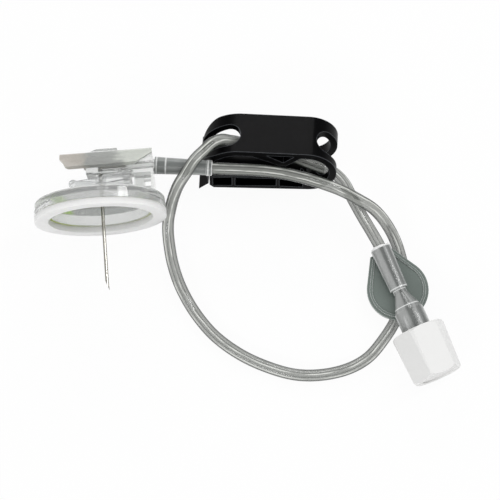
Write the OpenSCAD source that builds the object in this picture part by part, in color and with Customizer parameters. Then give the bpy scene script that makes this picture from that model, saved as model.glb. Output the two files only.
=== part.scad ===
// Infusion set with a right-angle port needle, lying on a table as it comes to rest.
// The disc stands on its edge with the needle along -Y, and the tubing loops round to the capped connector.

/* [Base] */
// Radius of the base disc and its foam pad
disc_r = 13.6; // [12.8:0.1:15]
// Height of the base disc
disc_h = 2.7; // [2.4:0.1:3.4]
// Wall of the base disc over its recess
disc_wall = 0.7; // [0.5:0.1:0.9]
// Width of the disc's solid rim round its recess
rim_w = 3.7; // [3.2:0.1:4.4]
// Height of the disc's outer flange
flange_h = 0.9; // [0.7:0.1:1.2]
// How far the flange stands out from the disc's wall
flange_step = 0.15; // [0.1:0.05:0.4]
// Rounding of the disc's upper edge
edge_r = 0.5; // [0.4:0.1:0.8]
// Thickness of the foam pad
foam_t = 1.3; // [1:0.1:2]
// Width of the foam ring
foam_w = 2.8; // [2:0.1:3]
// Thickness of the adhesive film between foam and disc
film_t = 0.1; // [0.05:0.01:0.2]
// Width of the adhesive film
film_w = 3; // [2.9:0.1:3.3]

/* [Needle] */
// Radius of the needle, 22 gauge
needle_r = 0.36; // [0.25:0.01:0.45]
// Length of needle below the foam
needle_out = 15.1; // [12:0.1:16]
// How far the needle stands from the disc's centre
needle_x = 0.5; // [0:0.1:1]
// Length of the needle's cut tip
tip_len = 2.2; // [1.5:0.1:3]
// How far the tip is bent aside from the shaft
tip_set = 0.1; // [0.05:0.01:0.12]
// Length of the needle's short arm inside the hub
arm_in = 5; // [3:0.5:7]
// Running clearance of the needle in the base's guide
guide_fit = 0.1; // [0.08:0.01:0.12]
// Height of the guide tube over the disc
guide_h = 2.9; // [2:0.1:3]
// Wall of the guide tube
guide_wall = 0.75; // [0.5:0.05:1]

/* [Hub] */
// Height of the fluid channel over the foam's face
port_z = 10.75; // [10.4:0.05:11]
// Radius of the fluid channel
channel_r = 0.8; // [0.5:0.05:0.9]
// How far the hub reaches to the side of the tubing
hub_right = 11.6; // [11:0.1:12.5]
// How far the hub reaches to the other side
hub_left = 2.3; // [2:0.1:3]
// Rounding of the hub's far corners
hub_round = 0.6; // [0.4:0.1:0.8]
// Length of the needle's boss under the hub
boss_h = 1.8; // [1:0.1:2]
// Glue gap round the needle in the hub
bond_gap = 0.02; // [0.01:0.01:0.04]
// Half of the hub's depth
hub_half = 3.1; // [2.9:0.1:3.4]
// Underside of the hub's slab over the foam's face
slab_z = 9.4; // [9.35:0.05:9.6]
// Top of the hub's slab over the foam's face
slab_top = 12.75; // [12.6:0.05:13]
// Height of the ridge over the slab
ridge_h = 2.35; // [1.5:0.05:2.6]
// Half of the ridge's depth
ridge_half = 1.5; // [1.2:0.1:1.8]
// Length of the ridge
ridge_len = 7; // [6:0.1:8]
// Wall of the skirt under the tubing side
skirt_wall = 0.6; // [0.5:0.1:0.9]
// Depth of the skirt from front to back, as a half
skirt_half = 2.9; // [2.7:0.1:3.1]
// Where the skirt starts
skirt_x = 7.5; // [7.3:0.1:8]
// Gap between the skirt and the disc
skirt_gap = 0.3; // [0.2:0.1:0.6]
// Height of each of the skirt's two windows
window_h = 1.1; // [0.8:0.1:1.2]
// Bar between the skirt's two windows
window_bar = 0.3; // [0.2:0.05:0.5]
// Angle of the tubing stem towards the skin
stem_tilt = 7.5; // [5:0.5:10]
// Length of the tubing stem
stem_len = 1.6; // [1:0.1:2.5]

/* [Wings] */
// Thickness of the wings
wing_t = 0.9; // [0.6:0.1:1]
// Inner radius of the wings' bend over the hub's edges
wing_bend_r = 0.6; // [0.6:0.05:0.8]
// How far the wings' free sides droop
wing_droop = 60; // [50:1:65]
// Length of each free side beyond its bend
wing_side = 3; // [2.5:0.1:3.2]
// Reach of the wings away from the tubing
wing_left = 7.4; // [7:0.1:8.5]
// Reach of the wings' tips over the tubing stem
wing_right = 11.6; // [11:0.1:12]
// How much the swept end falls back from the tips
wing_sweep = 4; // [3:0.1:5]
// How much the far end leans back from its corner
wing_lean = 0.8; // [0.4:0.1:1.2]
// Rounding of the wings' free corners
wing_corner = 1.3; // [1:0.1:1.6]
// Gap of the wings' window round the ridge
wing_fit = 0.1; // [0.05:0.05:0.3]

/* [Guard arms] */
// Length of each guard arm between its pivots
arm_len = 11; // [10.6:0.1:11.2]
// Angle of the folded arms
fold_angle = 7.3; // [7:0.1:8]
// Height of the hub's pivots over the foam's face
pivot_z = 8.3; // [8.2:0.05:8.4]
// Thickness of each arm
arm_t = 0.8; // [0.6:0.05:0.9]
// Side gap between neighbouring arms
arm_gap = 0.1; // [0.05:0.01:0.15]
// Half height of each arm's bar
bar_half = 0.75; // [0.5:0.05:0.85]
// Radius of each pivot eye
eye_r = 0.92; // [0.8:0.01:0.95]
// Radius of each moulded pivot pin
pin_r = 0.45; // [0.3:0.05:0.55]
// Running clearance of the pins
pin_fit = 0.05; // [0.02:0.01:0.1]
// Inner face of the hub's pivot lugs from the needle
lug_y = 1.7; // [1.65:0.05:1.8]

/* [Sleeve and tubing] */
// Radius of the tubing
tube_r = 1.25; // [1:0.05:1.4]
// Clearance of the tubing in its sleeve and socket
tube_fit = 0.06; // [0.03:0.01:0.15]
// Radius of the sleeve at the hub
sleeve_r = 1.82; // [1.7:0.02:2]
// Radius of the sleeve at its free end
sleeve_end_r = 1.54; // [1.5:0.02:1.6]
// Length of the sleeve
sleeve_len = 11; // [10:0.1:11.1]
// Radius of the bonded collar at the sleeve's end
collar_r = 1.66; // [1.6:0.02:1.8]
// Length of the bonded collar
collar_len = 1.1; // [0.8:0.1:1.5]

/* [Clamp] */
// Width of the clamp
clamp_w = 9.8; // [9:0.1:11]
// Thickness of the clamp's strip
strip_t = 1.5; // [1.2:0.1:1.8]
// Radius of the clamp's hooked end
hook_end_r = 8.5; // [8.2:0.1:8.8]
// Radius of the clamp's sprung end
bow_r = 6.2; // [6:0.1:6.4]
// Length of the flat face between the two round ends
face_len = 13.8; // [13:0.1:15]
// Reach of the hook under the face
hook_drop = 14.1; // [13.8:0.1:14.5]
// Height of the lever at its tip
lever_h = 4.2; // [3.6:0.1:4.6]
// Gap between the two jaws
jaw_gap = 3.5; // [2.9:0.1:3.8]
// Depth of the upper jaw under the face
jaw_drop = 4.4; // [3.6:0.1:4.6]
// Depth of the moulding pockets in the clamp's sides
pocket_d = 3.6; // [2:0.1:4]
// Width of the tubing slots
slot_w = 5.4; // [4.4:0.1:5.6]
// Offset of the slots to the near side
slot_off = 0.5; // [0:0.1:0.7]
// Where the hook's slot starts from the middle of the face
slot_end = 7.1; // [6.8:0.1:7.4]
// Where the bow's slot starts from the middle of the face
bow_slot_end = 8.7; // [8.4:0.1:9]
// Rounding of the hook's upper corners in plan
hook_soft = 4.2; // [3.8:0.1:4.4]
// How far down the hook those rounded corners reach
shoulder_drop = 8.9; // [8.5:0.1:9.3]
// How far the foot leans out
foot_lean = 0.3; // [0.2:0.05:0.5]
// How much the foot's end slants
foot_slant = 2.2; // [1:0.1:2.6]
// How much lower the lever's tip lies than its root
lever_lean = 0.9; // [0.6:0.1:1]
// Reach of the tooth that holds the lever
tooth = 0.8; // [0.6:0.1:1]
// Half of each jaw's blunt edge
jaw_half = 0.55; // [0.4:0.05:0.7]
// Cut of the lever's corners
tip_cut = 0.85; // [0.6:0.05:1]
// Rims left round the pockets
rib = 0.7; // [0.5:0.1:0.8]

/* [Luer connector] */
// Radius of the tubing socket at its mouth
socket_r = 2.17; // [1.9:0.01:2.3]
// Radius of the tubing socket at its step
socket_end_r = 1.9; // [1.8:0.02:2]
// Length of the tubing socket
socket_len = 9.4; // [8:0.1:11]
// How deep the tubing sits in its socket
socket_depth = 7; // [5:0.1:7.5]
// Radius of the neck
neck_r = 1.45; // [1.3:0.05:1.6]
// Radius of the luer body
luer_r = 3.1; // [2.9:0.05:3.3]
// Where the cone meets the luer body
cone_end = 14.3; // [13:0.1:15]
// Whole length of the connector
luer_len = 26.5; // [25.5:0.1:27]
// Radius of the female taper at its mouth
taper_r = 2.15; // [2.1:0.01:2.2]
// Slope of the luer taper
taper_slope = 0.03; // [0.02:0.005:0.04]
// Depth of the female taper
taper_len = 8; // [7:0.1:9]
// Radius of the thread lugs
lug_r = 3.9; // [3.7:0.05:3.95]
// Where the plate's centre lies along the connector
plate_s = 9; // [8.5:0.1:9.5]
// Radius of the round finger plate
plate_r = 6.45; // [5.5:0.05:7]
// Thickness of the finger plate
plate_t = 0.8; // [0.6:0.05:0.9]
// Height of the plate's raised rim
plate_rim = 0.25; // [0.1:0.05:0.4]

/* [Cap] */
// Radius of the cap at its open rim
cap_r = 5.85; // [5.5:0.05:6.2]
// Share of the cap's radius that is left at its flats
flat_share = 0.9; // [0.88:0.01:0.95]
// Radius of the cap at its closed end
cap_end_r = 5.35; // [5:0.05:5.5]
// Length of the cap
cap_len = 10.6; // [9.5:0.1:12]
// Radius of the cap's bore
cap_bore_r = 4.1; // [4:0.05:4.3]
// Length of the luer body that shows before the cap's rim
cap_start = 18.7; // [18:0.1:19.5]
// Thickness of the cap's end wall
cap_end_t = 1.4; // [1:0.1:2]
// Clearance of the cap's plug in the female taper
plug_fit = 0.05; // [0.03:0.01:0.1]
// Number of flats round the cap
flats = 6; // [6:1:8]
// Chamfer of the cap's ends
cap_soft = 0.5; // [0.2:0.1:0.7]
// Radius of the dimple in the cap's end
dimple_r = 3.6; // [2:0.1:4]
// Depth of the dimple in the cap's end
dimple_d = 0.3; // [0.2:0.05:0.5]

/* [Hidden] */

$fn = 64;
eps = 0.01;
film_edge = 0.2;

// Radii and heights over the foam's skin face
recess_r = disc_r - rim_w;
foam_hole_r = disc_r - foam_w;
film_hole_r = disc_r - film_edge - film_w;
disc_z = foam_t + film_t;
disc_top = disc_z + disc_h;
ceiling_z = disc_top - disc_wall;

// Guard linkage: pivots and layers out from the needle
pivot_x = needle_x + arm_len / 2;
elbow_x = pivot_x - arm_len * cos(fold_angle);
elbow_z = pivot_z - arm_len * sin(fold_angle);
base_pivot_z = pivot_z - 2 * arm_len * sin(fold_angle);
upper_y = lug_y + arm_t + arm_gap;
lower_y = upper_y + arm_t + arm_gap;

// Tubing stem, sleeve and the tubing's first points
stem_dir = [cos(stem_tilt), 0, -sin(stem_tilt)];
function along_stem(s) = [hub_right + s * stem_dir[0], port_z + s * stem_dir[2], disc_r];

// Clamp and connector, where they lie
clamp_at = [37.2, 14.9, 15.3];
clamp_yaw = -7.5;
clamp_roll = -20;
connector_at = [57.4, -9];
connector_yaw = -71.3;
cap_phase = -11;
connector_z = cap_r * cos(acos(flat_share) - abs(cap_phase));
function along_connector(s) = [connector_at[0] + s * cos(connector_yaw),
                               connector_at[1] + s * sin(connector_yaw), connector_z];

// The tubing's route between the sleeve and the connector
route_free = [
    [27, 8.7, 13.6], [32, 8.1, 13.6], [37.5, 7.1, 13.5], [42, 5.8, 13.2], [46, 4.4, 12.5],
    [50, 2.8, 11.4], [53.5, 1, 9.7], [56.6, -0.7, 7.3], [59.1, -3.4, 4.7], [60.9, -7, 2.6],
    [61.9, -11.3, 1.3], [62.2, -15.5, 1.3], [61.4, -19.5, 1.3], [59.4, -23.5, 1.3], [56.6, -27.3, 1.3],
    [53, -30.9, 1.3], [48.5, -33, 1.3], [43, -33.8, 1.3], [37.5, -33.3, 1.3], [32, -31.3, 1.3],
    [26.5, -28.2, 1.3], [21.5, -23.9, 1.3], [17.8, -18.8, 1.4], [15.2, -13.4, 2.2], [13.8, -8.3, 3.6],
    [13.35, -3.3, 5.6], [13.56, -0.15, 7.4], [14.25, 2.02, 9.3], [15.19, 3.98, 11.9],
    [16.49, 5.85, 14.6], [18.35, 7.83, 16.6], [20.3, 10.3, 17.1], [22.2, 12, 17], [24.18, 13.68, 16.68],
    [26.06, 14.55, 15.48], [27.68, 14.58, 14.22], [29.59, 14.57, 12.54], [34, 13.3, 10.8],
    [38.9, 12.2, 9.6], [43.1, 10.5, 8.4], [45.96, 9.38, 7.51], [48.63, 8.28, 6.77], [50.9, 5.8, 6.4],
    [52.5, 2, 6.3], [54.2, -1.8, 5.95], [55.7, -4.9, 5.7]];

function route() = concat([along_stem(stem_len + tube_fit), along_stem(sleeve_len + collar_len)], route_free,
                          [along_connector(-1.4), along_connector(0), along_connector(socket_depth)]);

// Clamp profile, with the face at z = 0
hook_c = [-face_len / 2, -hook_end_r];
bow_c = [face_len / 2, -bow_r];
hook_x = hook_c[0] - hook_end_r;
lever_tip_x = hook_x + strip_t + 0.5;
lever_low = -2 * bow_r;
lever_top = -jaw_drop - jaw_gap;
jaw_x = 2;
rib_x = -8;
tooth_z = -7.6;
hook_slot_z = -6.5;
bow_slot_z = -11.2;

// Ridge and skirt places on the hub
ridge_x = needle_x + 0.75;
wing_under = slab_top + wing_fit / 2;
skirt_z = disc_top + skirt_gap;
plate_y = -socket_end_r + 0.1;
bend_r = channel_r - needle_r + 0.1;

// Frame helpers
module head() {
    translate([0, 0, disc_r]) rotate([-90, 0, 0]) children();
}

module in_clamp() {
    translate(clamp_at) rotate([0, 0, clamp_yaw]) rotate([clamp_roll, 0, 0]) children();
}

// The connector's own frame: z runs along its axis from the socket's mouth, y points up
module in_connector() {
    translate([connector_at[0], connector_at[1], connector_z]) rotate([0, 0, connector_yaw]) rotate([0, 90, 0])
        rotate([0, 0, 90]) children();
}

// The same on the far side of the needle, for the rear pair of arms
module behind() {
    mirror([0, 1, 0]) children();
}

// A cylinder along y between two depths, round the point (x, z)
module cross_pin(x, z, r, y0, y1) {
    translate([x, y1, z]) rotate([90, 0, 0]) cylinder(r = r, h = y1 - y0);
}

// Base
module disc_profile() {
    wall_r = disc_r - flange_step;
    union() {
        translate([recess_r, disc_z]) square([disc_r - recess_r, flange_h]);
        translate([recess_r, disc_z]) square([wall_r - recess_r, disc_h - edge_r]);
        translate([0, ceiling_z]) square([wall_r - edge_r, disc_wall]);
        translate([recess_r, disc_top - edge_r - eps]) square([wall_r - edge_r - recess_r, edge_r]);
        intersection() {
            translate([wall_r - edge_r, disc_top - edge_r]) circle(r = edge_r);
            translate([wall_r - edge_r - eps, disc_top - edge_r - eps]) square([edge_r * 2, edge_r * 2]);
        }
    }
}

module base_lug() {
    difference() {
        union() {
            cross_pin(pivot_x, base_pivot_z, eye_r, -upper_y - arm_t, -upper_y);
            translate([pivot_x - eye_r, -upper_y - arm_t, disc_top - eps])
                cube([2 * eye_r, arm_t, base_pivot_z - disc_top]);
        }
        cross_pin(pivot_x, base_pivot_z, pin_r + pin_fit, -upper_y - arm_t - 1, -upper_y + 1);
    }
}

module base_disc() {
    guide_r = needle_r + guide_fit + guide_wall;
    color([0.86, 0.88, 0.88, 0.5]) head() {
        difference() {
            union() {
                rotate_extrude($fn = 128) disc_profile();
                translate([needle_x, 0, ceiling_z - 0.4]) cylinder(r = guide_r, h = disc_wall + guide_h + 0.4);
            }
            translate([needle_x, 0, 0]) cylinder(r = needle_r + guide_fit, h = disc_top + guide_h + 1);
        }
        base_lug();
        behind() base_lug();
    }
}

module foam_pad() {
    color([0.96, 0.96, 0.96]) head() difference() {
        cylinder(r = disc_r, h = foam_t, $fn = 128);
        translate([0, 0, -1]) cylinder(r = foam_hole_r, h = foam_t + 2, $fn = 128);
    }
}

module adhesive_film() {
    color([0.78, 0.8, 0.5]) head() translate([0, 0, foam_t]) difference() {
        cylinder(r = disc_r - film_edge, h = film_t, $fn = 128);
        translate([0, 0, -1]) cylinder(r = film_hole_r, h = film_t + 2, $fn = 128);
    }
}

// Needle: a shaft with a set-back ground tip, a bend inside the hub and a short arm in the fluid channel
module needle_tip() {
    set_angle = atan(tip_set / tip_len);
    translate([tip_set, 0, -needle_out]) rotate([0, -set_angle, 0]) difference() {
        cylinder(r = needle_r * 0.92, h = tip_len / cos(set_angle) + needle_r / 2);
        translate([needle_r, 0, 0]) rotate([0, -atan(2 * needle_r / tip_len), 0])
            translate([-4 * needle_r, -2 * needle_r, -2 * tip_len])
                cube([4 * needle_r, 4 * needle_r, 4 * tip_len]);
    }
}

module needle() {
    color([0.72, 0.72, 0.7]) head() translate([needle_x, 0, 0]) {
        needle_tip();
        translate([0, 0, tip_len - needle_out]) cylinder(r = needle_r, h = port_z - bend_r - tip_len + needle_out);
        translate([bend_r, 0, port_z - bend_r]) rotate([90, 0, 0]) rotate([0, 0, 90])
            rotate_extrude(angle = 90) translate([bend_r, 0]) circle(r = needle_r);
        translate([bend_r, 0, port_z]) rotate([0, 90, 0]) cylinder(r = needle_r, h = arm_in);
    }
}

// Hub
module hub_lug() {
    difference() {
        union() {
            cross_pin(pivot_x, pivot_z, eye_r, -lug_y - arm_t, -lug_y);
            translate([pivot_x - eye_r, -lug_y - arm_t, pivot_z]) cube([2 * eye_r, arm_t, slab_z - pivot_z + eps]);
        }
        cross_pin(pivot_x, pivot_z, pin_r + pin_fit, -lug_y - arm_t - 1, -lug_y + 1);
    }
}

module ridge() {
    ramp = ridge_len * 0.35;
    intersection() {
        translate([0, ridge_half + 1, slab_top - eps]) rotate([90, 0, 0]) linear_extrude(2 * ridge_half + 2)
            polygon([[ridge_x + ridge_len / 2, 0], [ridge_x + ridge_len / 2 - 0.5, ridge_h * 0.93],
                     [ridge_x - ridge_len / 2 + ramp, ridge_h], [ridge_x - ridge_len / 2 + 0.8, ridge_h * 0.62],
                     [ridge_x - ridge_len / 2, 0]]);
        translate([ridge_x - ridge_len, 0, slab_top - eps]) rotate([90, 0, 90]) linear_extrude(2 * ridge_len) union() {
            translate([0, ridge_h - ridge_half]) circle(r = ridge_half);
            translate([-ridge_half, 0]) square([2 * ridge_half, ridge_h - ridge_half]);
        }
    }
}

module skirt() {
    skirt_len = hub_right - skirt_x;
    skirt_h = slab_z - skirt_z;
    translate([skirt_x, 0, skirt_z]) difference() {
        translate([0, -skirt_half, 0]) cube([skirt_len, 2 * skirt_half, skirt_h + eps]);
        translate([-1, -skirt_half + skirt_wall, -1])
            cube([skirt_len - skirt_wall + 1, 2 * (skirt_half - skirt_wall), skirt_h - skirt_wall + 1]);
        for (i = [0, 1])
            translate([skirt_len / 2, -skirt_half - 1, skirt_h / 4 + i * (window_h + window_bar)])
                cube([skirt_len / 2 - skirt_wall, 2 * skirt_half + 2, window_h]);
    }
}

module hub() {
    left = -hub_left;
    color([0.8, 0.83, 0.83, 0.5]) head() difference() {
        union() {
            translate([left + hub_round, -hub_half, slab_z])
                cube([hub_right - left - hub_round, 2 * hub_half, slab_top - slab_z]);
            translate([left, -hub_half + hub_round, slab_z])
                cube([hub_round + eps, 2 * (hub_half - hub_round), slab_top - slab_z]);
            for (s = [-1, 1]) translate([left + hub_round, s * (hub_half - hub_round), slab_z])
                cylinder(r = hub_round, h = slab_top - slab_z);
            translate([needle_x, 0, slab_z - boss_h]) cylinder(r = needle_r + guide_wall, h = boss_h + eps);
            hub_lug();
            behind() hub_lug();
            ridge();
            skirt();
            translate([hub_right, 0, port_z]) rotate([0, 90 + stem_tilt, 0]) translate([0, 0, -0.5])
                cylinder(r = tube_r, h = stem_len + 0.5);
        }
        translate([needle_x, 0, slab_z - boss_h - 1])
            cylinder(r = needle_r + bond_gap, h = port_z - slab_z + boss_h + 1);
        translate([needle_x - needle_r - bond_gap, 0, port_z]) rotate([0, 90, 0])
            cylinder(r = channel_r, h = hub_right - needle_x - 0.3);
        translate([hub_right, 0, port_z]) rotate([0, 90 + stem_tilt, 0]) translate([0, 0, -1])
            cylinder(r = channel_r, h = stem_len + 2);
    }
}

// Wings: one strip bent over the hub's edges, with leaning far ends and swept tips
function arc(c, r, a0, a1, n = 8) = [for (i = [0:n]) c + r * [cos(a0 + (a1 - a0) * i / n), sin(a0 + (a1 - a0) * i / n)]];

function wing_side_section() =
    let (outer_r = wing_bend_r + wing_t, c = [hub_half - 0.2, wing_under - wing_bend_r],
         out = [sin(wing_droop), cos(wing_droop)], down = wing_side * [cos(wing_droop), -sin(wing_droop)])
    concat(arc(c, wing_bend_r, 90, 90 - wing_droop), [c + wing_bend_r * out + down, c + outer_r * out + down],
           arc(c, outer_r, 90 - wing_droop, 90));

module wing_strip() {
    near = wing_side_section();
    far = [for (i = [len(near) - 1:-1:0]) [-near[i][0], near[i][1]]];
    translate([-wing_left, 0, 0]) rotate([90, 0, 90]) linear_extrude(wing_left + wing_right) polygon(concat(near, far));
}

module wing_side_outline() {
    low = wing_under - wing_bend_r * (1 - cos(wing_droop)) - wing_side * sin(wing_droop) - 2 * eps;
    top = wing_under + 2 * wing_t;
    c = [-wing_left + wing_lean + wing_corner, low + wing_corner];
    polygon(concat([[-wing_left - 1, top], [-wing_left, wing_under - wing_bend_r]], arc(c, wing_corner, 180, 270),
                   [[wing_right - wing_sweep, low], [wing_right, wing_under - wing_bend_r / 2], [wing_right + 1, top]]));
}

module wings() {
    color([0.84, 0.83, 0.8, 0.6]) head() difference() {
        intersection() {
            wing_strip();
            rotate([90, 0, 0]) linear_extrude(6 * hub_half, center = true) wing_side_outline();
        }
        translate([ridge_x - ridge_len / 2 - wing_fit, -ridge_half - wing_fit, slab_top - 1])
            cube([ridge_len + 2 * wing_fit, 2 * (ridge_half + wing_fit), wing_t + 2]);
    }
}

// Guard arms
module arm_bar(x0, z0, x1, z1, y0) {
    length = norm([x1 - x0, z1 - z0]);
    cross_pin(x0, z0, eye_r, y0, y0 + arm_t);
    cross_pin(x1, z1, eye_r, y0, y0 + arm_t);
    translate([x0, y0, z0]) rotate([0, -atan2(z1 - z0, x1 - x0), 0])
        translate([0, 0, -bar_half]) cube([length, arm_t, 2 * bar_half]);
}

module upper_arm() {
    y0 = -upper_y - arm_t;
    difference() {
        arm_bar(elbow_x, elbow_z, pivot_x, pivot_z, y0);
        cross_pin(elbow_x, elbow_z, pin_r + pin_fit, y0 - 1, y0 + arm_t + 1);
    }
    cross_pin(pivot_x, pivot_z, pin_r, -upper_y - eps, -lug_y);
}

module lower_arm() {
    y0 = -lower_y - arm_t;
    arm_bar(elbow_x, elbow_z, pivot_x, base_pivot_z, y0);
    cross_pin(pivot_x, base_pivot_z, pin_r, -lower_y - eps, -upper_y);
    cross_pin(elbow_x, elbow_z, pin_r, -lower_y - eps, -upper_y);
}

module front_upper_arm() { color([0.85, 0.87, 0.87, 0.5]) head() upper_arm(); }
module front_lower_arm() { color([0.82, 0.85, 0.85, 0.5]) head() lower_arm(); }
module rear_upper_arm() { color([0.85, 0.87, 0.87, 0.5]) head() behind() upper_arm(); }
module rear_lower_arm() { color([0.82, 0.85, 0.85, 0.5]) head() behind() lower_arm(); }

// Sleeve over the tubing stem, with its bonded collar
module sleeve() {
    start = sleeve_r * tan(stem_tilt) + 0.03;
    color([0.8, 0.83, 0.83, 0.5]) head() translate([hub_right, 0, port_z]) rotate([0, 90 + stem_tilt, 0]) difference() {
        union() {
            translate([0, 0, start]) cylinder(r1 = sleeve_r, r2 = sleeve_end_r, h = sleeve_len - start + eps);
            translate([0, 0, sleeve_len]) cylinder(r = collar_r, h = collar_len);
        }
        translate([0, 0, -1]) cylinder(r = tube_r + tube_fit, h = sleeve_len + collar_len + 2);
    }
}

// Tubing, swept along its route
function unit(v) = v / norm(v);

function ring(p, before, after, r, sides) =
    let (t = unit(unit(p - before) + unit(after - p)), side = unit(cross(t, [0, 0, 1])), up = cross(side, t))
    [for (k = [0:sides - 1]) p + r * (cos(k * 360 / sides) * side + sin(k * 360 / sides) * up)];

module swept_tube(points, r, sides) {
    last = len(points) - 1;
    rings = [for (i = [0:last])
        ring(points[i], i == 0 ? 2 * points[0] - points[1] : points[i - 1],
             i == last ? 2 * points[last] - points[last - 1] : points[i + 1], r, sides)];
    walls = [for (i = [0:last - 1]) for (k = [0:sides - 1]) let (n = (k + 1) % sides)
        [i * sides + k, i * sides + n, (i + 1) * sides + n, (i + 1) * sides + k]];
    polyhedron([for (one = rings) for (p = one) p],
               concat([[for (k = [sides - 1:-1:0]) k]], walls, [[for (k = [0:sides - 1]) last * sides + k]]),
               convexity = 8);
}

module tubing() {
    color([0.75, 0.78, 0.78, 0.5]) swept_tube(route(), tube_r, 8);
}

// Pinch clamp: a strip bent round both ends, a toothed hook wall, a ribbed lever and two jaws
module strip_end(c, r, from) {
    intersection() {
        translate(c) difference() {
            circle(r = r, $fn = 96);
            circle(r = r - strip_t, $fn = 96);
        }
        translate(from) square([2 * r, 2 * r]);
    }
}

module clamp_profile() {
    tip_low = lever_low - lever_lean;
    inner_x = hook_x + strip_t;
    translate([-face_len / 2, -strip_t]) square([face_len, strip_t]);
    strip_end(hook_c, hook_end_r, [hook_c[0] - 2 * hook_end_r, hook_c[1]]);
    strip_end(bow_c, bow_r, [bow_c[0], lever_low]);
    // Hook wall with its slanted foot, and the tooth that holds the lever
    polygon([[hook_x, hook_c[1]], [hook_x - foot_lean, -hook_drop], [inner_x + foot_lean, -hook_drop + foot_slant],
             [inner_x, hook_c[1]]]);
    polygon([[inner_x - 0.1, tooth_z + tooth], [inner_x - 0.1, tooth_z - tooth],
             [inner_x + tooth, tooth_z - tooth / 2]]);
    // Lever with its blunt jaw
    polygon([[bow_c[0], lever_low + strip_t], [jaw_x + 3 * jaw_half, lever_top - jaw_half], [jaw_x + jaw_half, lever_top],
             [jaw_x - jaw_half, lever_top], [jaw_x - 3 * jaw_half, lever_top - jaw_half],
             [lever_tip_x + tip_cut, tip_low + lever_h], [lever_tip_x, tip_low + lever_h - tip_cut],
             [lever_tip_x, tip_low + tip_cut], [lever_tip_x + tip_cut, tip_low], [bow_c[0], lever_low]]);
    // Upper jaw under the face
    polygon([[jaw_x - 1.5 * jaw_drop, -strip_t], [jaw_x - jaw_half, -jaw_drop], [jaw_x + jaw_half, -jaw_drop],
             [jaw_x + 0.8 * jaw_drop, -strip_t]]);
}

// A pocket between two heights at each of its ends, with a rim left round it
module pocket(x0, low0, high0, x1, low1, high1) {
    polygon([[x0 + rib, low0 + rib], [x1 - rib, low1 + rib], [x1 - rib, high1 - rib], [x0 + rib, high0 - rib]]);
}

// The pockets that lighten the jaw and the lever, cut from both sides
module clamp_pockets() {
    tip_low = lever_low - lever_lean;
    shoulder = lever_top - jaw_half;
    polygon([[jaw_x, -jaw_drop + 1.6 * rib], [jaw_x + 0.5 * jaw_drop, -strip_t + 0.7 * rib],
             [jaw_x - 0.8 * jaw_drop, -strip_t + 0.7 * rib]]);
    pocket(lever_tip_x, tip_low, tip_low + lever_h, rib_x, tip_low + lever_lean / 3, shoulder - rib / 3);
    pocket(rib_x - rib, tip_low + lever_lean / 3, shoulder - rib / 3, jaw_x - rib, lever_low, shoulder);
    pocket(jaw_x - 2 * rib, lever_low, shoulder, bow_c[0], lever_low, lever_low + 2 * strip_t);
}

module clamp_plan() {
    half = clamp_w / 2;
    c = [hook_x + hook_soft - foot_lean, half - hook_soft];
    right = bow_c[0] + bow_r + 1;
    polygon(concat([[right, -half], [right, half]], arc(c, hook_soft, 90, 180, 12),
                   arc([c[0], -c[1]], hook_soft, 180, 270, 12)));
}

module tubing_slot(x_round, x_open, z_low) {
    mid = -slot_off;
    toward = x_open > x_round ? 1 : -1;
    centre = x_round + toward * slot_w / 2;
    translate([centre, mid, z_low]) cylinder(d = slot_w, h = 1 - z_low);
    translate([min(centre, x_open), mid - slot_w / 2, z_low]) cube([abs(x_open - centre), slot_w, 1 - z_low]);
}

module clamp() {
    color([0.06, 0.06, 0.065]) in_clamp() difference() {
        intersection() {
            rotate([90, 0, 0]) linear_extrude(clamp_w, center = true) clamp_profile();
            union() {
                translate([0, 0, -shoulder_drop]) linear_extrude(2 * hook_drop) clamp_plan();
                translate([-2 * face_len, -clamp_w, -2 * hook_drop])
                    cube([4 * face_len, 2 * clamp_w, 2 * hook_drop - shoulder_drop + eps]);
            }
        }
        for (s = [-1, 1]) translate([0, s * (clamp_w / 2 - pocket_d / 2 + 0.5), 0]) rotate([90, 0, 0])
            linear_extrude(pocket_d + 1, center = true) clamp_pockets();
        tubing_slot(-slot_end, hook_x - 1, hook_slot_z);
        tubing_slot(bow_slot_end, bow_c[0] + bow_r + 1, bow_slot_z);
    }
}

// Luer connector with its tubing socket, finger plate, cone and thread lugs
module plate_outline(inset) {
    r = plate_r - inset;
    mouth = [socket_r + 0.3 - inset / 2, 0.4 + inset];
    reach = norm([mouth[0], plate_s - mouth[1]]);
    a = atan2(mouth[1] - plate_s, mouth[0]) + acos(r / reach);
    polygon(concat([[-mouth[0], mouth[1]], mouth], arc([0, plate_s], r, a, 180 - a, 40)));
}

module luer_connector() {
    color([0.78, 0.81, 0.8, 0.5]) in_connector() difference() {
        union() {
            rotate_extrude() polygon([[0, 0], [socket_r, 0], [socket_end_r, socket_len], [neck_r, socket_len],
                                      [neck_r, socket_len + 1], [luer_r, cone_end], [luer_r, luer_len], [0, luer_len]]);
            translate([0, plate_y, 0]) rotate([90, 0, 0]) linear_extrude(plate_t) plate_outline(0);
            translate([0, plate_y + plate_rim, 0]) rotate([90, 0, 0]) linear_extrude(plate_rim + 0.1) difference() {
                plate_outline(0.6);
                plate_outline(1.1);
            }
            intersection() {
                translate([0, 0, luer_len - 1.1]) cylinder(r = lug_r, h = 1.1);
                translate([-lug_r - 1, -1.6, 0]) cube([2 * lug_r + 2, 3.2, luer_len + 1]);
            }
        }
        translate([0, 0, -1]) cylinder(r = tube_r + tube_fit, h = socket_depth + 1.05);
        cylinder(r = channel_r, h = luer_len + 1);
        translate([0, 0, luer_len - taper_len])
            cylinder(r1 = taper_r - taper_slope * taper_len, r2 = taper_r, h = taper_len + eps);
    }
}

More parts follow.
